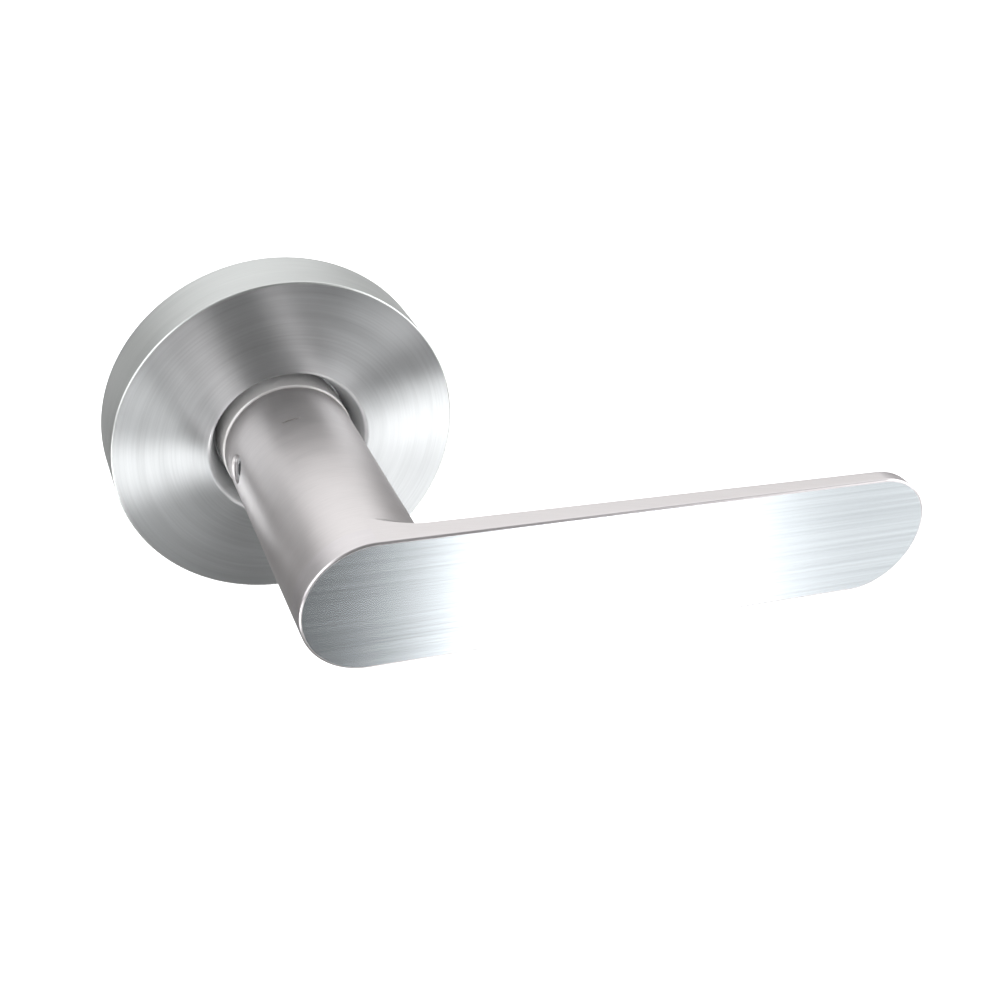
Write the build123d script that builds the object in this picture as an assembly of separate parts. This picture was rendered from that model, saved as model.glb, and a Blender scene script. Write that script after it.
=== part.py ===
from build123d import *
import os
from math import asin, cos, degrees, radians, sin

# One side's trim of a tubular lever lockset, in mm.
# Every piece is drawn with x to the right, y up and z straight out of the door, from the centre of the
# rose's back, and is turned on export so that the door's outward normal is -Y and up is +Z.

# lever: a round neck and a flat blade with round ends
neck_d = 24.5
neck_start = 12.25
neck_end_round = 0.45
neck_bore_d = 19.0
neck_bore_end = 36.0
projection = 64.5
lever_length = 120.0
blade_thick_root = 4.2
blade_thick_tip = 3.1
blade_edge_round = 0.45
blade_root_fillet = 3.0
slot_angle = 105.0
slot_height = 23.7
slot_size = (2.6, 0.35, 0.35)

# set screw in the neck's side
set_screw_d = 5.0
set_screw_angle = 173.5
set_screw_height = 21.3
set_screw_socket = 2.5
set_screw_span = (7.9, 11.5)

# rose: drawn sheet with a funnel round its hole
rose_d = 65.0
rose_edge_height = 11.7
rose_hole_height = 12.42
rose_hole_d = 29.8
rose_sheet = 1.0
rose_edge_round = 0.7
rose_hole_round = 0.8
funnel_end_d = 25.5
funnel_end_height = 6.15

# hub: bearing journal, keyed step, visible collar, tongue inside the neck
hub_back = 0.2
journal_d = 18.0
key_d = 20.8
key_flats = 18.6
key_start = 4.75
collar_start = 5.45
collar_d = 24.9
collar_end = 12.2
tongue_d = 18.8
tongue_end = 33.0
groove_d = 16.8
groove_start = 0.75
groove_end = 1.65
spindle_side = 8.0
spindle_slack = 0.1
spindle_front = 31.5
spindle_behind = 50.0
spindle_pin_d = 3.0
spindle_pin_height = 28.0

# mounting plate against the door
plate_d = 62.4
plate_thick = 2.6
boss_d = 27.6
web_top = 4.2
recess_d = 24.8
recess_depth = 2.6
bush_d = 21.2
bush_flange_d = 26.0
bush_flange_top = 4.65
running_clearance = 0.05

# posts through the door
post_spacing = 38.0
post_d = 9.0
post_behind = 30.0
post_seat = 0.6
post_thread_d = 4.2
post_screw_d = 5.0

# spring cassette
wire_d = 2.0
coil_d = 37.4
coil_pitch = 2.06
coil_start = 4.0
leg_reach = 23.9
carrier_wall_d = 34.4
carrier_sheet = 0.8
carrier_top = 9.8
tab_width = 5.0
tab_reach = 21.6
stop_tab_width = 6.0
stop_tab_reach = 23.2
housing_inner_d = 49.2
housing_outer_d = 51.6
housing_top = 10.0
lug_reach = 22.3
lid_thick = 0.6
lid_hole_d = 33.2
boss_ring_r = 27.4
boss_r = 2.7
housing_screw_d = 2.5
lid_rivet_d = 1.6

# travel either way from level, ended by two pins
travel_deg = 45.0
stop_pin_d = 3.0
stop_pin_r = 22.3
stop_gap = 0.15
stop_pin_top = 9.6

# leaf clips that hold the rose
clip_width = 8.0
clip_sheet = 0.5
clip_inner = 26.4
clip_outer = 30.9
clip_height = 8.5
clip_bump_r = 0.6
clip_bump_reach = 31.45
clip_rivet_r = 28.4
clip_rivet_d = 2.0

LOW = (Align.CENTER, Align.CENTER, Align.MIN)
QUARTERS = (0, 90, 180, 270)
OUT_OF_DOOR = Rot(90, 0, 0)


def disc(diameter, low, high):
    return Pos(0, 0, low) * Cylinder(diameter / 2, high - low, align=LOW)


def ring(inner_d, outer_d, low, high):
    return disc(outer_d, low, high) - disc(inner_d, low - 1, high + 1)


def cone(low_d, high_d, low, high):
    return Pos(0, 0, low) * Cone(low_d / 2, high_d / 2, high - low, align=LOW)


def block(x_range, y_range, z_range):
    size = [high - low for low, high in (x_range, y_range, z_range)]
    middle = [(high + low) / 2 for low, high in (x_range, y_range, z_range)]
    return Pos(*middle) * Box(*size)


def turned(points, radii=None):
    """Turn a closed outline of (radius, height) points about the z axis."""
    corners = [(r, 0, z) for r, z in points]
    outline = FilletPolyline(*corners, radius=radii or 0, close=True)
    return revolve(make_face(outline), Axis.Z)


def around(shape, angles, radius=0.0):
    """Copies of a shape, moved out along x and turned to each angle about z."""
    return [Rot(0, 0, angle) * Pos(radius, 0, 0) * shape for angle in angles]


def radial(angle, height):
    """Place whose z runs outwards from the axis at an angle and height, with x along the axis."""
    outward = (cos(radians(angle)), sin(radians(angle)), 0)
    return Location(Plane(origin=(0, 0, height), x_dir=(0, 0, 1), z_dir=outward))


def hex_socket(across_flats, low, high):
    return Pos(0, 0, low) * extrude(RegularPolygon(across_flats / 2, 6, major_radius=False), high - low)


# --- the lever and what turns with it ---


def blade_back(x):
    """Height of the blade's back, which tapers from root to tip."""
    share = (x + neck_d / 2) / lever_length
    return projection - blade_thick_root + share * (blade_thick_root - blade_thick_tip)


def stadium(low, high):
    span = lever_length - neck_d
    outline = Pos(span / 2, 0, low) * SlotCenterToCenter(span, neck_d)
    return extrude(outline, high - low)


def blade():
    slab = stadium(projection - blade_thick_root - 1, projection)
    start = -neck_d
    end = lever_length
    low = projection - 2 * blade_thick_root
    corners = [(start, 0, low), (end, 0, low), (end, 0, blade_back(end)), (start, 0, blade_back(start))]
    wedge = make_face(Polyline(*corners, close=True))
    slab -= extrude(wedge, neck_d, both=True)
    back = slab.faces().sort_by(Axis.Z)[0]
    front = slab.faces().sort_by(Axis.Z)[-1]
    return fillet(back.edges() + front.edges(), blade_edge_round)


def root_flare():
    """Fillet from neck to blade, kept inside the blade's outline."""
    top = blade_back(neck_d / 2 + blade_root_fillet / 2)
    low = top - blade_root_fillet
    reach = neck_d / 2 + blade_root_fillet
    sunk = top + 0.6
    flare = disc(2 * reach, low, sunk) - Pos(0, 0, low) * Torus(reach, blade_root_fillet)
    return flare & stadium(low - 1, sunk + 1)


def lever_handle():
    r = neck_d / 2
    inside_blade = projection - blade_thick_root / 2
    profile = [
        (neck_bore_d / 2, neck_start),
        (r, neck_start),
        (r, inside_blade),
        (0, inside_blade),
        (0, neck_bore_end),
        (neck_bore_d / 2, neck_bore_end),
    ]
    lever = blade() + turned(profile, [0, neck_end_round, 0, 0, 0, 0]) + root_flare()
    screw_hole = disc(set_screw_d + 0.1, 0, r + 1)
    bevel = cone(set_screw_d + 0.1, set_screw_d + 2.1, r - 0.35, r + 0.65)
    lever -= radial(set_screw_angle, set_screw_height) * (screw_hole + bevel)
    length, width, depth = slot_size
    lever -= radial(slot_angle, slot_height) * Pos(0, 0, r) * Box(width, length, 2 * depth)
    return lever


def set_screw():
    low, high = set_screw_span
    body = turned([(0, low), (1.4, low), (2.5, low + 0.7), (2.5, high - 0.3), (2.2, high), (0, high)])
    body -= hex_socket(set_screw_socket, high - 1.8, high + 1)
    return radial(set_screw_angle, set_screw_height) * body


def drive_hub():
    profile = [
        (0, hub_back),
        (journal_d / 2 - 0.3, hub_back),
        (journal_d / 2, hub_back + 0.3),
        (journal_d / 2, groove_start),
        (groove_d / 2, groove_start),
        (groove_d / 2, groove_end),
        (journal_d / 2, groove_end),
        (journal_d / 2, key_start),
        (key_d / 2, key_start),
        (key_d / 2, collar_start),
        (collar_d / 2, collar_start),
        (collar_d / 2, collar_end - 0.25),
        (collar_d / 2 - 0.25, collar_end),
        (tongue_d / 2, collar_end),
        (tongue_d / 2, tongue_end - 0.4),
        (tongue_d / 2 - 0.4, tongue_end),
        (0, tongue_end),
    ]
    hub = turned(profile)
    for side in (1, -1):
        beyond = sorted((side * key_flats / 2, side * key_d))
        hub -= block((-key_d, key_d), beyond, (key_start, collar_start))
    hole = spindle_side + spindle_slack
    hub -= block((-hole / 2, hole / 2), (-hole / 2, hole / 2), (hub_back - 1, tongue_end + 1))
    low = set_screw_span[0]
    hub -= radial(set_screw_angle, set_screw_height) * disc(set_screw_d + 0.1, low, low + 5)
    cross_hole = Rot(90, 0, 0) * Cylinder(spindle_pin_d / 2 + 0.05, tongue_d + 2)
    return hub - Pos(0, 0, spindle_pin_height) * cross_hole


def spindle():
    half = spindle_side / 2
    bar = block((-half, half), (-half, half), (-spindle_behind, spindle_front))
    ends = bar.edges().group_by(Axis.Z)
    bar = chamfer(ends[0] + ends[-1], 0.8)
    cross_hole = Rot(90, 0, 0) * Cylinder(spindle_pin_d / 2 + 0.05, spindle_side + 2)
    return bar - Pos(0, 0, spindle_pin_height) * cross_hole


def spindle_pin():
    """Slotted spring pin, rolled from sheet."""
    length = tongue_d - 0.6
    pin = Cylinder(spindle_pin_d / 2, length) - Cylinder(spindle_pin_d / 2 - 0.6, length + 2)
    pin -= Pos(spindle_pin_d / 2, 0, 0) * Box(spindle_pin_d, 0.5, length + 2)
    return Pos(0, 0, spindle_pin_height) * Rot(90, 0, 0) * pin


def spring_carrier():
    """Pressed cup keyed to the hub, with one tab between the spring's legs and one between the stops."""
    wall_r = carrier_wall_d / 2
    base = disc(carrier_wall_d, key_start, collar_start)
    wall = ring(carrier_wall_d - 2 * carrier_sheet, carrier_wall_d, key_start, carrier_top)
    ear_low = carrier_top - carrier_sheet + 0.1
    half = tab_width / 2
    root = wall_r - carrier_sheet / 2
    ear = block((-half, half), (root, tab_reach), (ear_low, carrier_top))
    tab = block((-half, half), (tab_reach - 1, tab_reach), (3.2, carrier_top))
    stop_half = stop_tab_width / 2
    stop_ear = block((-stop_half, stop_half), (-stop_tab_reach, -root), (ear_low, carrier_top))
    stop_tab = block((-stop_half, stop_half), (-stop_tab_reach, 1.8 - stop_tab_reach), (5.0, carrier_top))
    cup = base + wall + ear + tab + stop_ear + stop_tab
    keyhole = disc(key_d + 0.1, key_start - 1, collar_start + 1)
    flat = key_flats / 2 + 0.05
    keyhole &= block((-key_d, key_d), (-flat, flat), (key_start - 1, collar_start + 1))
    return cup - keyhole


def retaining_ring():
    low = groove_start + 0.05
    high = groove_end - 0.05
    clip = ring(groove_d + 0.1, 21.2, low, high)
    clip -= block((-2.6, 2.6), (-20, 0), (low - 1, high + 1))
    for angle in (270 - 19, 270 + 19):
        ear = ring(1.3, 3.2, low, high)
        clip += Rot(0, 0, angle) * Pos(10.1, 0, 0) * ear
    for angle in (270 - 19, 270 + 19):
        clip -= Rot(0, 0, angle) * Pos(10.1, 0, 0) * disc(1.3, low - 1, high + 1)
    return clip


def spring_washer():
    low = groove_end - 0.03
    return turned([(9.2, low), (12.0, low + 0.2), (12.0, low + 0.46), (9.2, low + 0.26)])


def thrust_washer():
    return ring(journal_d + 0.3, 24.0, recess_depth - 0.48, recess_depth - 0.1)


# --- what stays still ---


def rose_cover():
    """Outer surface from the door, over the face and down the funnel, thickened inwards."""
    rim = rose_d / 2
    surface = FilletPolyline(
        (rim, 0, 0),
        (rim, 0, rose_edge_height),
        (rose_hole_d / 2, 0, rose_hole_height),
        (funnel_end_d / 2, 0, funnel_end_height),
        radius=[rose_edge_round, rose_hole_round],
    )
    inner = FilletPolyline(
        (rim - rose_sheet, 0, 0),
        (rim - rose_sheet, 0, rose_edge_height - 0.96 * rose_sheet),
        (rose_hole_d / 2 + 0.68 * rose_sheet, 0, rose_hole_height - 1.03 * rose_sheet),
        (funnel_end_d / 2 + 0.936 * rose_sheet, 0, funnel_end_height - 0.352 * rose_sheet),
        radius=[0.3, 0.3],
    )
    ends = [Line(surface @ 0, inner @ 0), Line(surface @ 1, inner @ 1)]
    return revolve(make_face([surface, inner] + ends), Axis.Z)


def post_places(shape):
    return around(shape, (0, 180), post_spacing / 2)


def mounting_plate():
    profile = [
        (recess_d / 2, 0),
        (plate_d / 2, 0),
        (plate_d / 2, plate_thick - 0.3),
        (plate_d / 2 - 0.3, plate_thick),
        (boss_d / 2, plate_thick),
        (boss_d / 2, web_top),
        (bush_d / 2, web_top),
        (bush_d / 2, recess_depth),
        (recess_d / 2, recess_depth),
    ]
    plate = turned(profile)
    seat = disc(post_d + 0.2, -1, post_seat) + disc(post_screw_d + 0.2, 0, plate_thick)
    seat += cone(post_screw_d + 0.2, post_screw_d + 4.2, post_seat + 0.1, plate_thick)
    plate -= post_places(seat)
    screw_hole = disc(housing_screw_d + 0.1, -1, plate_thick + 1)
    screw_hole += cone(housing_screw_d + 2.3, housing_screw_d + 0.1, 0, 1.1)
    plate -= around(screw_hole, [45 + a for a in QUARTERS], boss_ring_r)
    plate -= around(disc(stop_pin_d + 0.04, -1, plate_thick + 1), stop_pin_angles(), stop_pin_r)
    plate -= around(disc(clip_rivet_d + 0.04, -1, plate_thick + 1), QUARTERS, clip_rivet_r)
    return plate


def hub_bush():
    bore = journal_d + 2 * running_clearance
    sleeve = ring(bore, bush_d - 0.1, recess_depth, web_top)
    return sleeve + ring(bore, bush_flange_d, web_top, bush_flange_top)


def stop_pin_angles():
    """The pins stand just past where the stop tab's sides reach at full travel."""
    reach = stop_tab_width / 2 + stop_pin_d / 2 + stop_gap
    away = travel_deg + degrees(asin(reach / stop_pin_r))
    return (270 - away, 270 + away)


def stop_pins():
    r = stop_pin_d / 2
    pin = turned([(0, 0.1), (r, 0.1), (r, stop_pin_top - 0.3), (r - 0.3, stop_pin_top), (0, stop_pin_top)])
    return around(pin, stop_pin_angles(), stop_pin_r)


def mounting_posts():
    """Posts with a plain bore for the post screw at the plate and an M5 tapping bore from the far end."""
    r = post_d / 2
    profile = [(0, -post_behind), (r - 0.5, -post_behind), (r, 0.5 - post_behind), (r, post_seat - 0.05)]
    post = turned(profile + [(0, post_seat - 0.05)])
    post -= disc(post_screw_d + 0.1, -10, post_seat + 1)
    post -= disc(post_thread_d, -post_behind - 1, -10)
    return post_places(post)


def post_screws():
    r = post_screw_d / 2
    head = plate_thick - 0.1
    profile = [(0, -9), (r - 0.4, -9), (r, -8.6), (r, 0.8), (r + 1.75, head), (0, head)]
    screw = turned(profile) - hex_socket(3.0, head - 1.5, head + 1)
    return post_places(screw)


def spring_housing():
    wall = ring(housing_inner_d, housing_outer_d, plate_thick, housing_top)
    places = [45 + a for a in QUARTERS]
    for boss in around(disc(2 * boss_r, plate_thick, housing_top), places, boss_ring_r):
        wall += boss
    half = tab_width / 2
    wall += block((-half, half), (lug_reach, housing_inner_d / 2 + 0.5), (plate_thick, housing_top))
    wall -= around(disc(housing_screw_d + 0.04, plate_thick - 1, 7.8), places, boss_ring_r)
    wall -= around(disc(lid_rivet_d + 0.04, 8.4, housing_top + 1), places, boss_ring_r)
    return wall


def housing_screws():
    r = housing_screw_d / 2
    profile = [(0, 0.1), (r + 1.0, 0.1), (r, 1.1), (r, 7.3), (r - 0.3, 7.6), (0, 7.6)]
    screw = turned(profile) - block((-2.0, 2.0), (-0.3, 0.3), (0, 0.6))
    return around(screw, [45 + a for a in QUARTERS], boss_ring_r)


def housing_lid():
    top = housing_top + lid_thick
    lid = disc(housing_outer_d, housing_top, top)
    places = [45 + a for a in QUARTERS]
    for lobe in around(disc(2 * boss_r, housing_top, top), places, boss_ring_r):
        lid += lobe
    lid -= disc(lid_hole_d, housing_top - 1, top + 1)
    return lid - around(disc(lid_rivet_d + 0.04, housing_top - 1, top + 1), places, boss_ring_r)


def lid_rivets():
    r = lid_rivet_d / 2
    top = housing_top + lid_thick
    rivet = turned([(0, 8.5), (r, 8.5), (r, top), (0, top)])
    return around(rivet, [45 + a for a in QUARTERS], boss_ring_r)


def return_spring():
    """About two turns of round wire, with legs bent out either side of the driving tab."""
    coil_r = coil_d / 2
    leg_x = tab_width / 2 + wire_d / 2 + 0.05
    aside = degrees(asin(leg_x / coil_r))
    spare = degrees(1.0 / coil_r)
    turns = (720 - 2 * aside + 2 * spare) / 360
    line = Helix(coil_pitch, coil_pitch * turns, coil_r, center=(0, 0, 0))
    wire_end = Plane(origin=line @ 0, z_dir=line % 0)
    coil = sweep(wire_end * Circle(wire_d / 2), path=line, is_frenet=True)
    low = coil_start
    spring = Pos(0, 0, low) * Rot(0, 0, 90 + aside - spare) * coil
    leg_y = coil_r * cos(radians(aside))
    rise = coil_pitch * spare / 360
    for side, height in ((-1, low + rise), (1, low + coil_pitch * turns - rise)):
        leg = Cylinder(wire_d / 2 - 0.05, leg_reach - leg_y, align=LOW)
        spring += Pos(side * leg_x, leg_y, height) * Rot(-90, 0, 0) * leg
    return spring


def cover_clips():
    half = clip_width / 2
    foot = block((clip_inner, clip_outer), (-half, half), (plate_thick, plate_thick + clip_sheet))
    leaf = block((clip_outer - clip_sheet, clip_outer), (-half, half), (plate_thick, clip_height))
    bump_long = clip_bump_reach - clip_outer + 0.2
    bump = Cone(2 * clip_bump_r, clip_bump_r, bump_long, align=LOW)
    bump = Pos(clip_outer - 0.2, 0, clip_height - 2) * Rot(0, 90, 0) * bump
    clip = foot + leaf + bump
    clip -= Pos(clip_rivet_r, 0, 0) * disc(clip_rivet_d + 0.04, 0, clip_height)
    return around(clip, QUARTERS)


def clip_rivets():
    r = clip_rivet_d / 2
    seat = plate_thick + clip_sheet
    profile = [(0, 0.1), (r, 0.1), (r, seat), (r + 0.9, seat), (r + 0.9, seat + 0.6), (0, seat + 0.6)]
    return around(turned(profile, [0, 0, 0, 0, 0.4, 0]), QUARTERS, clip_rivet_r)


PIECES = {
    "lever_handle": lever_handle,
    "set_screw": set_screw,
    "drive_hub": drive_hub,
    "spindle": spindle,
    "spindle_pin": spindle_pin,
    "spring_carrier": spring_carrier,
    "retaining_ring": retaining_ring,
    "spring_washer": spring_washer,
    "thrust_washer": thrust_washer,
    "rose_cover": rose_cover,
    "mounting_plate": mounting_plate,
    "hub_bush": hub_bush,
    "stop_pins": stop_pins,
    "mounting_posts": mounting_posts,
    "post_screws": post_screws,
    "spring_housing": spring_housing,
    "housing_screws": housing_screws,
    "housing_lid": housing_lid,
    "lid_rivets": lid_rivets,
    "return_spring": return_spring,
    "cover_clips": cover_clips,
    "clip_rivets": clip_rivets,
}

os.makedirs("parts", exist_ok=True)
for name, make in PIECES.items():
    made = make()
    copies = made if isinstance(made, list) else [made]
    placed = [OUT_OF_DOOR * solid for copy in copies for solid in copy.solids()]
    shape = placed[0] if len(placed) == 1 else Compound(children=placed)
    export_step(shape, f"parts/{name}.step")
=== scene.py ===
import bmesh
import bpy
from math import atan, cos, pi, radians, sin, sqrt
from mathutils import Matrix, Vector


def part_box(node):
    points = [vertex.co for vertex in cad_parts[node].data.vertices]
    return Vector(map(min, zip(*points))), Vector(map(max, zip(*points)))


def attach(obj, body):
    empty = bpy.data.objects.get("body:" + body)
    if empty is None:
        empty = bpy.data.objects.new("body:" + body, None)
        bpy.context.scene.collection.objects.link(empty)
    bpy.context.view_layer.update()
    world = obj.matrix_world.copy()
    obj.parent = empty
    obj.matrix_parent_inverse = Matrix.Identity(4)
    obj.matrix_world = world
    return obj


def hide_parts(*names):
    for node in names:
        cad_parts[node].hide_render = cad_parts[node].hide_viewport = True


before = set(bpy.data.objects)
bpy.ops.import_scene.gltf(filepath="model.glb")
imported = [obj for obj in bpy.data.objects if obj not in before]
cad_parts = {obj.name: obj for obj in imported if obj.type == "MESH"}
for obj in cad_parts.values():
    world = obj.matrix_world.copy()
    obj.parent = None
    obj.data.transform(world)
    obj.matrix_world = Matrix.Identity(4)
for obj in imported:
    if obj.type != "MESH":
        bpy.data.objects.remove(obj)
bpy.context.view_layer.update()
print("frame loaded:", len(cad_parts), "nodes")

mm = 0.001
hair = 0.001 * mm  # slack for points that should coincide
sliver = 0.01 * mm  # slack for points that should be past an edge

# camera, above and to the left of the door's front
camera = {"place": (-0.0592, -0.2212, 0.1239), "turn": (58.50, -6.79, -22.43), "lens": 47.33}


def addCamera():
    bpy.ops.object.camera_add(location=camera["place"], rotation=[radians(a) for a in camera["turn"]])
    cam = bpy.context.object
    cam.name = "studioCamera"
    cam.data.lens = camera["lens"]
    cam.data.sensor_width = 36
    cam.data.clip_start = 0.005
    bpy.context.scene.camera = cam


addCamera()


# modelling helpers: height is the distance out from the door, which is along -Y


def startClean():
    if bpy.context.object and bpy.context.object.mode != "OBJECT":
        bpy.ops.object.mode_set(mode="OBJECT")
    bpy.ops.object.select_all(action="DESELECT")


def settle(name):
    # name the active object, and put its place into its mesh
    piece = bpy.context.object
    piece.name = name
    piece.data.name = name
    bpy.ops.object.transform_apply(location=True, rotation=True, scale=True)
    return piece


def editOn():
    bpy.ops.object.mode_set(mode="EDIT")
    bpy.ops.mesh.select_all(action="SELECT")


def pick(kind, test):
    # in edit mode, select the verts, edges or faces whose points all pass a test
    bpy.ops.mesh.select_mode(type={"verts": "VERT", "edges": "EDGE", "faces": "FACE"}[kind])
    bpy.ops.mesh.select_all(action="DESELECT")
    cage = bmesh.from_edit_mesh(bpy.context.object.data)
    for item in getattr(cage, kind):
        points = [item.co] if kind == "verts" else [v.co for v in item.verts]
        if all(test(p) for p in points):
            item.select_set(True)
    cage.select_flush_mode()
    bmesh.update_edit_mesh(bpy.context.object.data)


def across(p):
    return sqrt(p.x * p.x + p.z * p.z)


def near(value, target, slack=0.00001):
    return abs(value - target) < slack


def pushOut(amount):
    bpy.ops.mesh.extrude_edges_move(TRANSFORM_OT_translate={"value": (0, -amount, 0)})


def widen(share, height):
    bpy.ops.transform.resize(value=(share, 1, share), center_override=(0, -height, 0))


def pushRing(r0, h0, r1, h1):
    # extrude the selected ring to a new radius and height
    pushOut(h1 - h0)
    widen(r1 / r0, h1)


def roundEdges(test, distance, steps):
    pick("edges", test)
    bpy.ops.mesh.bevel(offset=distance, segments=steps, affect="EDGES", profile=0.5, clamp_overlap=False)


def addModifier(piece, kind, **settings):
    modifier = piece.modifiers.new(kind.lower(), kind)
    for name, value in settings.items():
        setattr(modifier, name, value)
    return modifier


def applyModifiers(piece):
    bpy.context.view_layer.objects.active = piece
    for modifier in list(piece.modifiers):
        bpy.ops.object.modifier_apply(modifier=modifier.name)


def closeMesh(angle=30):
    bpy.ops.mesh.select_all(action="SELECT")
    bpy.ops.mesh.remove_doubles(threshold=hair)
    bpy.ops.mesh.normals_make_consistent(inside=False)
    bpy.ops.object.mode_set(mode="OBJECT")
    bpy.ops.object.shade_smooth_by_angle(angle=radians(angle))


def evenNormals(piece):
    # large flat faces keep flat normals, and the rounds between them carry the turn
    addModifier(piece, "WEIGHTED_NORMAL", keep_sharp=True, weight=60)
    applyModifiers(piece)


def cutWith(piece, cutter):
    addModifier(piece, "BOOLEAN", operation="DIFFERENCE", object=cutter, solver="EXACT")
    applyModifiers(piece)
    bpy.data.objects.remove(cutter)


def finishPiece(piece, node, body):
    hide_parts(node)
    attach(piece, body)


def turnedPiece(name, profile, sides, rounds=()):
    # turn a closed outline of (radius, height) corners; rounds are (corner, distance, steps)
    startClean()
    r0, h0 = profile[0]
    bpy.ops.mesh.primitive_circle_add(
        vertices=sides, radius=r0, location=(0, -h0, 0), rotation=(pi / 2, pi / sides, 0)
    )
    piece = settle(name)
    editOn()
    for start, end in zip(profile, profile[1:] + profile[:1]):
        pushRing(*start, *end)
    bpy.ops.mesh.select_all(action="SELECT")
    bpy.ops.mesh.remove_doubles(threshold=2 * hair)
    for corner, distance, steps in rounds:
        r, h = profile[corner]
        roundEdges(lambda p: near(across(p), r) and near(-p.y, h), distance, steps)
    return piece


# rose: a drawn cover with a funnel round its hole

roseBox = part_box("rose_cover")
rose = {
    "sides": 192,
    "rim": roseBox[1][0],
    "rimHeight": 11.7 * mm,
    "hole": 14.9 * mm,
    "holeHeight": 12.42 * mm,
    "funnel": 12.75 * mm,
    "funnelHeight": 6.15 * mm,
    "sheet": 1.0 * mm,
    "rimRound": 0.35 * mm,
    "holeRound": 0.6 * mm,
    "lip": 0.3 * mm,  # the hole's lip is brushed with the face, and the funnel starts inside it
}


def makeRose():
    sheet = rose["sheet"]
    profile = [  # from the door, over the face, down the funnel and back along the inside
        (rose["rim"], 0),
        (rose["rim"], rose["rimHeight"]),
        (rose["hole"], rose["holeHeight"]),
        (rose["funnel"], rose["funnelHeight"]),
        (rose["funnel"] + 0.936 * sheet, rose["funnelHeight"] - 0.352 * sheet),
        (rose["hole"] + 0.68 * sheet, rose["holeHeight"] - 1.03 * sheet),
        (rose["rim"] - sheet, rose["rimHeight"] - 0.96 * sheet),
        (rose["rim"] - sheet, 0),
    ]
    rounds = [(1, rose["rimRound"], 8), (2, rose["holeRound"], 8), (3, 0.2 * mm, 3), (4, 0.2 * mm, 3)]
    rounds += [(0, 0.15 * mm, 2), (7, 0.1 * mm, 2), (5, 0.3 * mm, 3), (6, 0.3 * mm, 3)]
    cover = turnedPiece("roseCover", profile, rose["sides"], rounds)
    closeMesh()
    evenNormals(cover)
    finishPiece(cover, "rose_cover", "rose")
    return cover


# lever: round neck, flared into a flat blade with round ends

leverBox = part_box("lever_handle")
lever = {
    "sides": 160,
    "radius": leverBox[1][2],
    "start": -leverBox[1][1],
    "bore": 9.5 * mm,
    "boreEnd": 36.0 * mm,
    "front": -leverBox[0][1],
    "rootThick": 4.2 * mm,
    "tipThick": 3.1 * mm,
    "length": leverBox[1][0] - leverBox[0][0],
    "neckRings": (13.4 * mm, 17.5 * mm, 25.2 * mm, 41 * mm),
    "flare": 3.0 * mm,
    "flareSteps": 8,
    "edgeRound": 0.45 * mm,
    "screwAngle": 173.5,
    "screwHeight": 21.3 * mm,
    "screwHole": 2.55 * mm,
    "screwBevel": 0.35 * mm,
    "markAngle": 105.0,
    "markHeight": 23.7 * mm,
    "markLength": 3.6 * mm,
    "markDepth": 0.4 * mm,
    "markWidth": 0.4 * mm,
    "boreRound": 0.3 * mm,
    "brushedFrom": 60.3 * mm,  # height where the brushed blade takes over from the satin neck
    "tipFrom": 14 * mm,  # and, past this reach, where the thinner tip does
    "tipBrushedFrom": 57 * mm,
}


def outward(angle):
    # rotation that points a primitive's own Z out of the neck's side
    return (0, radians(90 - angle), 0)


def alongSide(angle, distance, height):
    return (distance * cos(radians(angle)), -height, distance * sin(radians(angle)))


def makeScrewHoleCutter():
    startClean()
    r = lever["radius"]
    low = lever["bore"] - 1 * mm
    high = r - lever["screwBevel"]
    hole = lever["screwHole"]
    place = alongSide(lever["screwAngle"], (low + high) / 2, lever["screwHeight"])
    bpy.ops.mesh.primitive_cylinder_add(
        vertices=48, radius=hole, depth=high - low, location=place, rotation=outward(lever["screwAngle"])
    )
    cutter = settle("screwHoleCutter")
    bpy.ops.object.mode_set(mode="EDIT")
    rise = 1 * mm
    out = alongSide(lever["screwAngle"], 1, 0)
    pick("faces", lambda p: p.x * out[0] + p.z * out[2] > high - 0.1 * mm)
    bpy.ops.mesh.extrude_region_move(TRANSFORM_OT_translate={"value": [rise * v for v in out]})
    share = (hole + rise) / hole
    middle = alongSide(lever["screwAngle"], high + rise, lever["screwHeight"])
    bpy.ops.transform.resize(value=(share, share, share), center_override=middle)
    bpy.ops.mesh.select_all(action="SELECT")
    bpy.ops.mesh.normals_make_consistent(inside=False)
    bpy.ops.object.mode_set(mode="OBJECT")
    return cutter


def makeMarkCutter():
    # thin wheel that leaves a short lens-shaped groove
    startClean()
    depth = lever["markDepth"]
    half = lever["markLength"] / 2
    r = lever["radius"]
    sagitta = depth - (r - sqrt(r * r - half * half))
    wheel = (half * half + sagitta * sagitta) / (2 * sagitta) if sagitta > 0 else r
    place = alongSide(lever["markAngle"], r - depth + wheel, lever["markHeight"])
    bpy.ops.mesh.primitive_cylinder_add(
        vertices=96, radius=wheel, depth=lever["markWidth"], location=place, rotation=(pi / 2, 0, 0)
    )
    return settle("markCutter")


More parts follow.
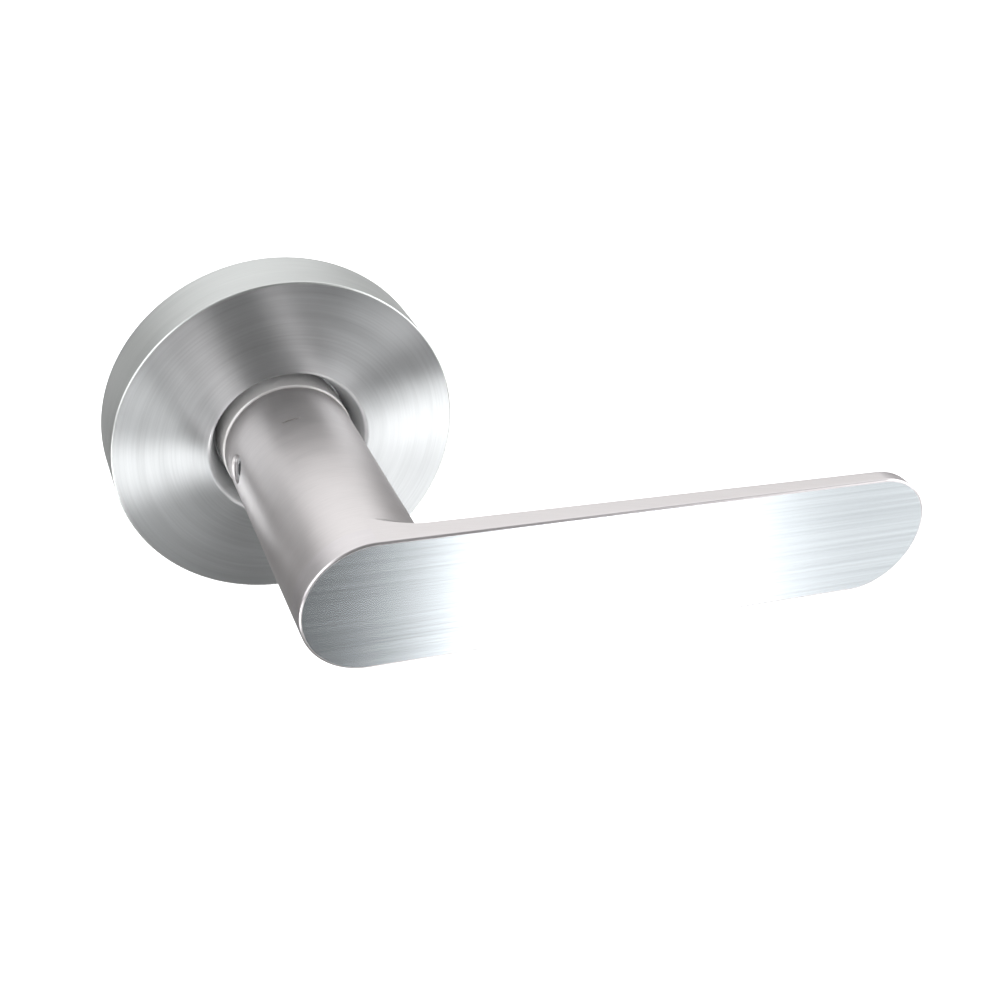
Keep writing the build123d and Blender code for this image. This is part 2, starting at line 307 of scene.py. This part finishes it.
def makeLever():
    startClean()
    r = lever["radius"]
    front = lever["front"]
    halfTurn = pi / lever["sides"]
    top = r * cos(halfTurn)  # the polygon's flat, where the blade's straight sides are
    span = lever["length"] - 2 * r
    taper = (lever["rootThick"] - lever["tipThick"]) / lever["length"]
    back = front - lever["rootThick"] + taper * (2 * r + lever["flare"] / 2)
    tipBack = front - lever["rootThick"] + taper * (span + r)
    bpy.ops.mesh.primitive_circle_add(
        vertices=lever["sides"], radius=r, location=(0, -lever["start"], 0), rotation=(pi / 2, halfTurn, 0)
    )
    piece = settle("leverHandle")
    bpy.ops.object.mode_set(mode="EDIT")
    bpy.ops.mesh.select_mode(type="EDGE")
    bpy.ops.mesh.select_all(action="SELECT")
    height = lever["start"]
    flareStart = back - lever["flare"]
    for ringHeight in (*lever["neckRings"], flareStart):  # straight neck
        pushOut(ringHeight - height)
        height = ringHeight
    reach = r
    for step in range(1, lever["flareSteps"] + 1):  # quarter round into the blade's back
        turn = step / lever["flareSteps"] * pi / 2
        ringHeight = back - lever["flare"] * (1 - sin(turn))
        ringReach = r + lever["flare"] * (1 - cos(turn))
        pick("edges", lambda p: near(-p.y, height))
        pushOut(ringHeight - height)
        pick("verts", lambda p: near(-p.y, ringHeight) and p.x > 0)
        widen(ringReach / reach, ringHeight)
        height, reach = ringHeight, ringReach
    for side in (1, -1):  # trim the flare flush with the blade's straight sides
        pick("faces", lambda p: -p.y > flareStart - sliver)
        bpy.ops.mesh.bisect(
            plane_co=(0, 0, side * top), plane_no=(0, 0, side), clear_outer=True, threshold=hair / 2
        )
    pick("edges", lambda p: near(-p.y, back) and p.x < 0)
    pushOut(front - back)
    bpy.ops.mesh.select_all(action="DESELECT")
    bpy.ops.mesh.primitive_circle_add(
        vertices=lever["sides"], radius=r, location=(span, -front, 0), rotation=(pi / 2, halfTurn, 0)
    )
    pick("verts", lambda p: r * 2 < p.x < span)
    bpy.ops.mesh.delete(type="VERT")
    pick("edges", lambda p: p.x > span)
    pushOut(tipBack - front)
    bpy.ops.transform.rotate(value=atan(taper), orient_axis="Z", center_override=(span, -tipBack, 0))
    corner = sqrt(reach * reach - top * top)
    onTipBack = lambda p: back - hair < -p.y < front - mm and p.x > corner - sliver
    for side in (1, -1):  # long edges, then the flat sides
        onSide = lambda p: near(p.z, side * top)
        pick("verts", lambda p: onSide(p) and near(-p.y, front))
        bpy.ops.mesh.edge_face_add()
        pick("verts", lambda p: onSide(p) and onTipBack(p))
        bpy.ops.mesh.edge_face_add()
        pick("edges", lambda p: onSide(p) and -p.y > flareStart - sliver)
        bpy.ops.mesh.edge_face_add()
    pick("edges", lambda p: near(-p.y, front))
    bpy.ops.mesh.edge_face_add()
    pick("edges", onTipBack)
    bpy.ops.mesh.edge_face_add()
    pick("edges", lambda p: near(-p.y, lever["start"]))
    pushRing(r, lever["start"], lever["bore"], lever["start"])
    pushRing(lever["bore"], lever["start"], lever["bore"], lever["boreEnd"])
    bpy.ops.mesh.edge_face_add()
    bpy.ops.mesh.select_all(action="SELECT")
    bpy.ops.mesh.normals_make_consistent(inside=False)
    edgeRound = lever["edgeRound"]
    roundEdges(lambda p: near(-p.y, front), edgeRound, 6)
    onBack = lambda p: back + 0.1 * mm < -p.y < front - 1.5 * mm or (near(-p.y, back) and near(abs(p.z), top))
    roundEdges(lambda p: onBack(p) and p.x > corner - sliver, edgeRound, 5)
    roundEdges(lambda p: near(-p.y, lever["start"]) and near(across(p), r), edgeRound, 5)
    roundEdges(lambda p: near(-p.y, lever["start"]) and near(across(p), lever["bore"]), lever["boreRound"], 3)
    closeMesh()
    cutWith(piece, makeScrewHoleCutter())
    cutWith(piece, makeMarkCutter())
    evenNormals(piece)
    finishPiece(piece, "lever_handle", "lever")
    return piece


# hub: journal and groove behind, keyed step, collar in the rose's hole, tongue inside the neck

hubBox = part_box("drive_hub")
hub = {
    "sides": 128,
    "back": -hubBox[1][1],
    "tongueEnd": -hubBox[0][1],
    "collar": hubBox[1][0],
    "journal": 9.0 * mm,
    "groove": 8.4 * mm,
    "grooveStart": 0.75 * mm,
    "grooveEnd": 1.65 * mm,
    "key": 10.4 * mm,
    "keyFlats": 9.3 * mm,
    "keyStart": 4.75 * mm,
    "collarStart": 5.45 * mm,
    "collarEnd": 12.2 * mm,
    "tongue": 9.4 * mm,
    "chamfer": 0.25 * mm,
    "bore": 3.0 * mm,  # round start for the square hole
    "squareHole": 8.1 * mm,
    "pinHole": 3.1 * mm,
    "pinHeight": 28.0 * mm,
}


def makeBlock(name, low, high):
    startClean()
    middle = [(a + b) / 2 for a, b in zip(low, high)]
    bpy.ops.mesh.primitive_cube_add(size=1, location=middle, scale=[b - a for a, b in zip(low, high)])
    return settle(name)


def makeCrossHoleCutter(length):
    startClean()
    bpy.ops.mesh.primitive_cylinder_add(
        vertices=48, radius=hub["pinHole"] / 2, depth=length, location=(0, -hub["pinHeight"], 0)
    )
    return settle("crossHoleCutter")


def makeHub():
    inner = hub["bore"]
    edge = hub["chamfer"]
    profile = [
        (inner, hub["back"]),
        (hub["journal"] - edge, hub["back"]),
        (hub["journal"], hub["back"] + edge),
        (hub["journal"], hub["grooveStart"]),
        (hub["groove"], hub["grooveStart"]),
        (hub["groove"], hub["grooveEnd"]),
        (hub["journal"], hub["grooveEnd"]),
        (hub["journal"], hub["keyStart"]),
        (hub["key"], hub["keyStart"]),
        (hub["key"], hub["collarStart"]),
        (hub["collar"], hub["collarStart"]),
        (hub["collar"], hub["collarEnd"] - edge),
        (hub["collar"] - edge, hub["collarEnd"]),
        (hub["tongue"], hub["collarEnd"]),
        (hub["tongue"], hub["tongueEnd"] - edge),
        (hub["tongue"] - edge, hub["tongueEnd"]),
        (inner, hub["tongueEnd"]),
    ]
    piece = turnedPiece("driveHub", profile, hub["sides"])
    closeMesh()
    half = hub["squareHole"] / 2
    wide = 2 * hub["key"]
    cutWith(piece, makeBlock("squareCutter", (-half, -50 * mm, -half), (half, 5 * mm, half)))
    for side in (1, -1):
        flat = sorted((side * hub["keyFlats"], side * wide))
        low = (-wide, -hub["collarStart"], flat[0])
        cutWith(piece, makeBlock("flatCutter", low, (wide, -hub["keyStart"], flat[1])))
    cutWith(piece, makeCrossHoleCutter(wide))
    cutWith(piece, makeScrewHoleCutter())
    evenNormals(piece)
    finishPiece(piece, "drive_hub", "lever")
    return piece


# set screw: a short grub screw with a hex socket, in the neck's side

setScrew = {
    "radius": 2.5 * mm,
    "low": 7.9 * mm,
    "high": 11.5 * mm,
    "socket": 2.5 * mm,
    "socketDepth": 1.8 * mm,
    "edge": 0.3 * mm,
    "point": 0.7 * mm,
}


def makeSetScrew():
    angle = lever["screwAngle"]
    height = lever["screwHeight"]
    low = setScrew["low"]
    high = setScrew["high"]
    out = alongSide(angle, 1, 0)
    startClean()
    bpy.ops.mesh.primitive_cylinder_add(
        vertices=64,
        radius=setScrew["radius"],
        depth=high - low,
        location=alongSide(angle, (low + high) / 2, height),
        rotation=outward(angle),
    )
    piece = settle("setScrew")
    bpy.ops.object.mode_set(mode="EDIT")
    roundEdges(lambda p: near(p.x * out[0] + p.z * out[2], high), setScrew["edge"], 3)
    roundEdges(lambda p: near(p.x * out[0] + p.z * out[2], low), setScrew["point"], 1)
    closeMesh()
    startClean()
    bpy.ops.mesh.primitive_cylinder_add(
        vertices=6,
        radius=setScrew["socket"] / 2 / cos(pi / 6),
        depth=2 * setScrew["socketDepth"],
        location=alongSide(angle, high, height),
        rotation=outward(angle),
    )
    cutWith(piece, settle("socketCutter"))
    evenNormals(piece)
    finishPiece(piece, "set_screw", "lever")
    return piece


# spindle: a drawn square bar with chamfered ends and a cross hole for its pin

spindle = {"endChamfer": 0.8 * mm, "edgeRound": 0.25 * mm}


def makeSpindle():
    low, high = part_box("spindle")
    piece = makeBlock("spindleBar", low, high)
    bpy.ops.object.mode_set(mode="EDIT")
    pick("edges", lambda p: near(p.y, low[1]))
    bpy.ops.mesh.bevel(offset=spindle["endChamfer"], segments=1, affect="EDGES")
    pick("edges", lambda p: near(p.y, high[1]))
    bpy.ops.mesh.bevel(offset=spindle["endChamfer"], segments=1, affect="EDGES")
    roundEdges(lambda p: near(abs(p.x), high[0]) and near(abs(p.z), high[2]), spindle["edgeRound"], 4)
    closeMesh()
    cutWith(piece, makeCrossHoleCutter(4 * high[0]))
    evenNormals(piece)
    finishPiece(piece, "spindle", "lever")
    return piece


# posts: plain bore for the post screw, then a threaded bore from the far end

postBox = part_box("mounting_posts")
post = {
    "sides": 64,
    "radius": postBox[1][2],
    "end": postBox[1][1],
    "seat": -postBox[0][1],
    "spacing": postBox[1][0] - postBox[0][0] - 2 * postBox[1][2],
    "edge": 0.5 * mm,
    "plainBore": 2.55 * mm,
    "plainEnd": 10.0 * mm,
    "threadInner": 2.1 * mm,
    "threadOuter": 2.5 * mm,
    "pitch": 0.8 * mm,
    "crest": 0.2 * mm,
    "root": 0.6 * mm,
}


def makePosts():
    r = post["radius"]
    end = post["end"]
    profile = [(r - post["edge"], -end), (r, post["edge"] - end), (r, post["seat"])]
    profile += [(post["plainBore"], post["seat"]), (post["plainBore"], -post["plainEnd"])]
    turns = int((end - post["plainEnd"]) / post["pitch"])
    for turn in range(turns):  # thread crests and roots
        height = -post["plainEnd"] - turn * post["pitch"]
        profile += [(post["threadInner"], height - post["crest"])]
        profile += [(post["threadOuter"], height - post["root"])]
    profile += [(post["threadOuter"], -end)]
    piece = turnedPiece("mountingPosts", profile, post["sides"])
    bpy.ops.mesh.select_all(action="SELECT")
    bpy.ops.transform.translate(value=(post["spacing"] / 2, 0, 0))
    bpy.ops.mesh.duplicate_move(TRANSFORM_OT_translate={"value": (-post["spacing"], 0, 0)})
    closeMesh()
    evenNormals(piece)
    finishPiece(piece, "mounting_posts", "rose")
    return piece


roseCover = makeRose()
leverHandle = makeLever()
driveHub = makeHub()
setScrewPiece = makeSetScrew()
spindleBar = makeSpindle()
mountingPosts = makePosts()
print("rose, lever, hub, set screw, spindle and posts modelled")


# finishes: each has brushed grain, and changes a little in colour, roughness and depth


def addNode(tree, kind, place, **settings):
    node = tree.nodes.new(kind)
    node.location = place
    for name, value in settings.items():
        setattr(node, name, value)
    return node


def feed(tree, socket, value):
    if isinstance(value, (int, float, tuple)):
        socket.default_value = value
    else:
        tree.links.new(value, socket)


def math(tree, operation, first, second=0.0, third=0.0):
    node = addNode(tree, "ShaderNodeMath", (-600, 0), operation=operation)
    for socket, value in zip(node.inputs, (first, second, third)):
        feed(tree, socket, value)
    return node.outputs[0]


def vectorMath(tree, operation, first, second=(0.0, 0.0, 0.0)):
    node = addNode(tree, "ShaderNodeVectorMath", (-600, -200), operation=operation)
    for socket, value in zip(node.inputs, (first, second)):
        feed(tree, socket, value)
    return node.outputs["Value"] if operation in ("LENGTH", "DOT_PRODUCT") else node.outputs["Vector"]


def ease(tree, value, start, end, low=0.0, high=1.0):
    # smooth step from low at start to high at end
    node = addNode(tree, "ShaderNodeMapRange", (-400, 0), interpolation_type="SMOOTHSTEP")
    for socket, item in zip(node.inputs, (value, start, end, low, high)):
        feed(tree, socket, item)
    return node.outputs["Result"]


def objectSpot(tree):
    return addNode(tree, "ShaderNodeTexCoord", (-1400, 0)).outputs["Object"]


def grainNoise(tree, spot, detail=2.0, roughness=0.5):
    node = addNode(tree, "ShaderNodeTexNoise", (-800, 0))
    tree.links.new(spot, node.inputs["Vector"])
    node.inputs["Scale"].default_value = 1.0
    node.inputs["Detail"].default_value = detail
    node.inputs["Roughness"].default_value = roughness
    return node.outputs["Fac"]


def turnedSpot(tree, spot, around, outwardScale, depthScale):
    # grain that runs round the door's axis, with no seam
    flat = vectorMath(tree, "MULTIPLY", spot, (1.0, 0.0, 1.0))
    ring = vectorMath(tree, "MULTIPLY", vectorMath(tree, "NORMALIZE", flat), (around, 0.0, around))
    reach = math(tree, "MULTIPLY", vectorMath(tree, "LENGTH", flat), outwardScale)
    parts = addNode(tree, "ShaderNodeSeparateXYZ", (-1000, -300))
    tree.links.new(spot, parts.inputs[0])
    depth = math(tree, "MULTIPLY_ADD", parts.outputs["Y"], depthScale, reach)
    lift = addNode(tree, "ShaderNodeCombineXYZ", (-800, -300))
    tree.links.new(depth, lift.inputs["Y"])
    return vectorMath(tree, "ADD", ring, lift.outputs[0])


def steadyWay(tree, direction):
    way = addNode(tree, "ShaderNodeCombineXYZ", (-600, -500))
    for socket, value in zip(way.inputs, direction):
        socket.default_value = value
    return way.outputs[0]


def outlineWay(tree, spot):
    # square to the blade's outline, which the edge is brushed along
    span = lever["length"] - 2 * lever["radius"]
    pastRoot = vectorMath(tree, "MAXIMUM", spot, (0.0, -1.0, -1.0))
    inSpan = vectorMath(tree, "MINIMUM", pastRoot, (span, 1.0, 1.0))
    spine = vectorMath(tree, "MULTIPLY", inSpan, (1.0, 0.0, 0.0))
    out = vectorMath(tree, "SUBTRACT", vectorMath(tree, "MULTIPLY", spot, (1.0, 0.0, 1.0)), spine)
    along = vectorMath(tree, "CROSS_PRODUCT", out, (0.0, 1.0, 0.0))
    local = addNode(tree, "ShaderNodeVectorTransform", (-800, -700), vector_type="VECTOR")
    local.convert_from = "WORLD"
    local.convert_to = "OBJECT"
    normal = addNode(tree, "ShaderNodeNewGeometry", (-1000, -700)).outputs["Normal"]
    tree.links.new(normal, local.inputs[0])
    return vectorMath(tree, "CROSS_PRODUCT", local.outputs[0], along)


def shineAcross(tree, shader, way):
    # shine spreads square to the brush lines, so that way is the tangent
    turn = addNode(tree, "ShaderNodeVectorTransform", (-200, -400), vector_type="VECTOR")
    turn.convert_from = "OBJECT"
    turn.convert_to = "WORLD"
    tree.links.new(way, turn.inputs[0])
    tree.links.new(turn.outputs[0], shader.inputs["Tangent"])


handling = {"scale": 90.0, "smear": 0.05, "grainSmear": 0.06}  # uneven gloss from use and from the grain
grooveDepth = 0.05 * mm

# lay says which way the brush lines run, grain is lines per metre, and vary is the change in colour
finishes = {
    "turnedRose": {"colour": (0.77, 0.79, 0.80), "rough": 0.31, "aniso": 1.0, "lay": "round", "grain": 2600,
                   "bump": 0.10, "vary": 0.10},
    "rimRose": {"colour": (0.78, 0.80, 0.79), "rough": 0.38, "aniso": 0.6, "lay": "axis", "grain": 4200,
                "bump": 0.10, "vary": 0.05},
    # the funnel is painted light: paler and partly non-metal so the rose's deep recess reads brightly lit
    "funnelPaintedLight": {"colour": (0.96, 0.95, 0.95), "rough": 0.45, "aniso": 0.0, "lay": "axis", "grain": 3000,
                   "bump": 0.05, "vary": 0.01, "metal": 0.25},
    # blade, edges and neck are one steel: the blade's cool blue tint and the edges' and neck's warm pink tint
    # are painted reflection tints
    "brushedBlade": {"colour": (0.73, 0.78, 0.82), "rough": 0.24, "aniso": 1.0, "lay": "length",
                     "grain": 2400, "bump": 0.08, "vary": 0.12},
    "brushedEdge": {"colour": (0.77, 0.74, 0.75), "rough": 0.34, "aniso": 0.6, "lay": "outline",
                    "grain": 5200, "bump": 0.08, "vary": 0.05},
    "satinNeck": {"colour": (0.77, 0.74, 0.74), "rough": 0.36, "aniso": 0.4, "lay": "axis", "grain": 3600,
                  "bump": 0.06, "vary": 0.04},
    # the hub is painted light: paler and partly non-metal so its collar in the rose's hole reads as lit as
    # the neck
    "turnedCollarPaintedLight": {"colour": (0.94, 0.92, 0.91), "rough": 0.34, "aniso": 0.4, "lay": "axis", "grain": 3600,
                     "bump": 0.06, "vary": 0.02, "metal": 0.3},
    "zincPlated": {"colour": (0.66, 0.67, 0.69), "rough": 0.34, "aniso": 0.0, "lay": "plain", "grain": 900,
                   "bump": 0.05, "vary": 0.10},
    "castZinc": {"colour": (0.50, 0.51, 0.53), "rough": 0.52, "aniso": 0.0, "lay": "plain", "grain": 2400,
                 "bump": 0.25, "vary": 0.12},
    "springWire": {"colour": (0.42, 0.42, 0.44), "rough": 0.30, "aniso": 0.3, "lay": "plain", "grain": 1500,
                   "bump": 0.08, "vary": 0.08},
    "pressedSteel": {"colour": (0.60, 0.61, 0.62), "rough": 0.42, "aniso": 0.0, "lay": "plain", "grain": 1600,
                     "bump": 0.10, "vary": 0.08},
    "bronzeBush": {"colour": (0.62, 0.42, 0.22), "rough": 0.40, "aniso": 0.4, "lay": "axis", "grain": 2600,
                   "bump": 0.10, "vary": 0.08},
    "drawnSteel": {"colour": (0.55, 0.56, 0.57), "rough": 0.36, "aniso": 0.0, "lay": "drawn", "grain": 1800,
                   "bump": 0.10, "vary": 0.08},
    "blackScrew": {"colour": (0.30, 0.30, 0.31), "rough": 0.34, "aniso": 0.0, "lay": "plain", "grain": 1800,
                   "bump": 0.10, "vary": 0.10},
}


def makeFinish(name):
    look = finishes[name]
    finish = bpy.data.materials.new(name)
    finish.use_nodes = True
    tree = finish.node_tree
    shader = tree.nodes["Principled BSDF"]
    shader.inputs["Metallic"].default_value = look.get("metal", 1.0)
    shader.inputs["Anisotropic"].default_value = look["aniso"]
    spot = objectSpot(tree)
    grain = look["grain"]
    if look["lay"] == "round":
        fine = turnedSpot(tree, spot, 1.6, grain, grain)
        wide = turnedSpot(tree, spot, 0.8, grain / 9, grain / 9)
        way = vectorMath(tree, "MULTIPLY", spot, (1.0, 0.0, 1.0))
    elif look["lay"] == "axis":
        fine = turnedSpot(tree, spot, 4.0, grain / 3, grain)
        wide = turnedSpot(tree, spot, 1.5, grain / 30, grain / 9)
        way = steadyWay(tree, (0.0, 1.0, 0.0))
    elif look["lay"] == "length":
        fine = vectorMath(tree, "MULTIPLY", spot, (14.0, grain, grain))
        wide = vectorMath(tree, "MULTIPLY", spot, (8.0, grain / 2, grain / 2))
        way = steadyWay(tree, (0.0, 0.0, 1.0))
    elif look["lay"] == "outline":
        fine = vectorMath(tree, "MULTIPLY", spot, (80.0, grain, grain / 4))
        wide = vectorMath(tree, "MULTIPLY", spot, (30.0, grain / 9, grain / 30))
        way = outlineWay(tree, spot)
    elif look["lay"] == "drawn":
        fine = vectorMath(tree, "MULTIPLY", spot, (grain, 120.0, grain))
        wide = vectorMath(tree, "MULTIPLY", spot, (grain / 9, 40.0, grain / 9))
        way = None
    else:
        fine = vectorMath(tree, "MULTIPLY", spot, (grain, grain, grain))
        wide = vectorMath(tree, "MULTIPLY", spot, (grain / 6, grain / 6, grain / 6))
        way = None
    fineGrain = grainNoise(tree, fine, 1.0, 0.5)
    wideGrain = grainNoise(tree, wide, 1.0, 0.5)
    handled = grainNoise(tree, vectorMath(tree, "MULTIPLY", spot, (handling["scale"],) * 3), 3.0, 0.5)
    mixed = math(tree, "ADD", math(tree, "MULTIPLY", fineGrain, 0.5), math(tree, "MULTIPLY", wideGrain, 0.5))
    tone = addNode(tree, "ShaderNodeMix", (-300, 200), data_type="RGBA", blend_type="MIX")
    vary = look["vary"]
    tree.links.new(mixed, tone.inputs["Factor"])
    tone.inputs[6].default_value = (*[c * (1 - 2 * vary) for c in look["colour"]], 1)
    tone.inputs[7].default_value = (*[min(1, c * (1 + 2 * vary)) for c in look["colour"]], 1)
    tree.links.new(tone.outputs[2], shader.inputs["Base Color"])
    smear = handling["smear"]
    grainSmear = handling["grainSmear"]
    lowest = look["rough"] - smear / 2 - grainSmear / 2
    smeared = math(tree, "MULTIPLY_ADD", handled, smear, lowest)
    rougher = math(tree, "MULTIPLY_ADD", wideGrain, grainSmear, smeared)
    tree.links.new(rougher, shader.inputs["Roughness"])
    bump = addNode(tree, "ShaderNodeBump", (-200, -200))
    bump.inputs["Strength"].default_value = look["bump"]
    bump.inputs["Distance"].default_value = grooveDepth
    tree.links.new(fineGrain, bump.inputs["Height"])
    tree.links.new(bump.outputs[0], shader.inputs["Normal"])
    if way:
        shineAcross(tree, shader, way)
    return finish


steel = {name: makeFinish(name) for name in finishes}


def paintFaces(piece, finish, test):
    startClean()
    piece.select_set(True)
    bpy.context.view_layer.objects.active = piece
    piece.data.materials.append(finish)
    slot = len(piece.data.materials) - 1
    bpy.ops.object.mode_set(mode="EDIT")
    pick("faces", test)
    piece.active_material_index = slot
    bpy.ops.object.material_slot_assign()
    bpy.ops.object.mode_set(mode="OBJECT")


roseCover.data.materials.append(steel["turnedRose"])
paintFaces(roseCover, steel["rimRose"], lambda p: across(p) > rose["rim"] - rose["rimRound"])
# painted light: the funnel inside the hole's lip gets the pale, partly non-metal finish
paintFaces(roseCover, steel["funnelPaintedLight"], lambda p: across(p) < rose["hole"] - rose["lip"])
leverHandle.data.materials.append(steel["satinNeck"])


def onBrushedEdge(p):
    return -p.y > lever["brushedFrom"] or (p.x > lever["tipFrom"] and -p.y > lever["tipBrushedFrom"])


# painted reflection tint: the edges and neck are warm pink, and the blade's front is cool blue
paintFaces(leverHandle, steel["brushedEdge"], onBrushedEdge)
paintFaces(leverHandle, steel["brushedBlade"], lambda p: near(-p.y, lever["front"], 2 * hair))

# painted light: the whole hub gets the pale, partly non-metal collar finish
driveHub.data.materials.append(steel["turnedCollarPaintedLight"])
setScrewPiece.data.materials.append(steel["drawnSteel"])
spindleBar.data.materials.append(steel["drawnSteel"])
mountingPosts.data.materials.append(steel["zincPlated"])

nodeFinish = {
    "spindle_pin": "blackScrew",
    "spring_carrier": "pressedSteel",
    "retaining_ring": "blackScrew",
    "spring_washer": "springWire",
    "thrust_washer": "zincPlated",
    "mounting_plate": "castZinc",
    "hub_bush": "bronzeBush",
    "stop_pins": "drawnSteel",
    "post_screws": "blackScrew",
    "spring_housing": "castZinc",
    "housing_screws": "zincPlated",
    "housing_lid": "pressedSteel",
    "lid_rivets": "zincPlated",
    "return_spring": "springWire",
    "cover_clips": "springWire",
    "clip_rivets": "zincPlated",
}


def paintNode(node, finish):
    materials = bpy.data.objects[node].data.materials
    for index in range(len(materials)):
        materials[index] = finish


for node, finishName in nodeFinish.items():
    paintNode(node, steel[finishName])
print("finishes set")


# studio: plain white soft boxes, as turn and rise in degrees from the door's front


studio = {
    "room": 0.2,
    "boxes": {
        "rightBox": {"turn": 75, "rise": 15, "size": (80, 50), "soft": 10, "glow": 1.6},
        "leftBox": {"turn": -75, "rise": 15, "size": (80, 50), "soft": 10, "glow": 1.6},
        "rightBounce": {"turn": 33, "rise": -40, "size": (12, 35), "soft": 8, "glow": 5.0},
        "rightCard": {"turn": 60, "rise": -35, "size": (40, 35), "soft": 10, "glow": 0.8},
        "leftBounce": {"turn": -50, "rise": -35, "size": (40, 20), "soft": 10, "glow": 5.0},
        "overhead": {"turn": 180, "rise": 50, "size": (180, 50), "soft": 30, "glow": 1.1},
    },
}


def addSoftBox(tree, turn, rise, box, soFar):
    width, height = box["size"]
    soft = box["soft"] / 2
    aside = math(tree, "WRAP", math(tree, "SUBTRACT", turn, float(box["turn"])), 180.0, -180.0)
    above = math(tree, "SUBTRACT", rise, float(box["rise"]))
    inWidth = ease(tree, math(tree, "ABSOLUTE", aside), width / 2 + soft, width / 2 - soft)
    inHeight = ease(tree, math(tree, "ABSOLUTE", above), height / 2 + soft, height / 2 - soft)
    return math(tree, "MULTIPLY_ADD", math(tree, "MULTIPLY", inWidth, inHeight), box["glow"], soFar)


def makeStudio():
    world = bpy.data.worlds.new("studio")
    world.use_nodes = True
    bpy.context.scene.world = world
    tree = world.node_tree
    tree.nodes.clear()
    look = addNode(tree, "ShaderNodeTexCoord", (-1600, 0)).outputs["Generated"]
    parts = addNode(tree, "ShaderNodeSeparateXYZ", (-1400, 0))
    tree.links.new(look, parts.inputs[0])
    away = math(tree, "MULTIPLY", parts.outputs["Y"], -1.0)
    turn = math(tree, "DEGREES", math(tree, "ARCTAN2", parts.outputs["X"], away))
    rise = math(tree, "DEGREES", math(tree, "ARCSINE", parts.outputs["Z"]))
    glow = studio["room"]
    for box in studio["boxes"].values():
        glow = addSoftBox(tree, turn, rise, box, glow)
    room = addNode(tree, "ShaderNodeBackground", (200, 0))
    room.inputs["Color"].default_value = (1, 1, 1, 1)
    tree.links.new(glow, room.inputs["Strength"])
    paper = addNode(tree, "ShaderNodeBackground", (200, -200))  # plain white behind the object
    paper.inputs["Color"].default_value = (1, 1, 1, 1)
    seen = addNode(tree, "ShaderNodeLightPath", (200, 300)).outputs["Is Camera Ray"]
    blend = addNode(tree, "ShaderNodeMixShader", (400, 0))
    tree.links.new(seen, blend.inputs[0])
    tree.links.new(room.outputs[0], blend.inputs[1])
    tree.links.new(paper.outputs[0], blend.inputs[2])
    end = addNode(tree, "ShaderNodeOutputWorld", (600, 0))
    tree.links.new(blend.outputs[0], end.inputs["Surface"])


def makeFloor():
    startClean()
    bpy.ops.mesh.primitive_plane_add(size=6, location=(0, 0, -0.12))
    floor = bpy.context.object
    floor.name = "floor"
    floor.visible_glossy = False
    floor.visible_diffuse = False
    floor.visible_shadow = False
    paint = bpy.data.materials.new("paleFloor")
    paint.use_nodes = True
    tree = paint.node_tree
    shader = tree.nodes["Principled BSDF"]
    mottle = grainNoise(tree, vectorMath(tree, "MULTIPLY", objectSpot(tree), (12.0, 12.0, 12.0)))
    feed(tree, shader.inputs["Roughness"], ease(tree, mottle, 0.2, 0.8, 0.7, 0.8))
    shader.inputs["Base Color"].default_value = (0.9, 0.9, 0.9, 1)
    shader.inputs["Emission Color"].default_value = (1, 1, 1, 1)
    shader.inputs["Emission Strength"].default_value = 0.9
    floor.data.materials.append(paint)


makeStudio()
makeFloor()
bpy.context.scene.view_settings.view_transform = "Standard"
print("studio set")
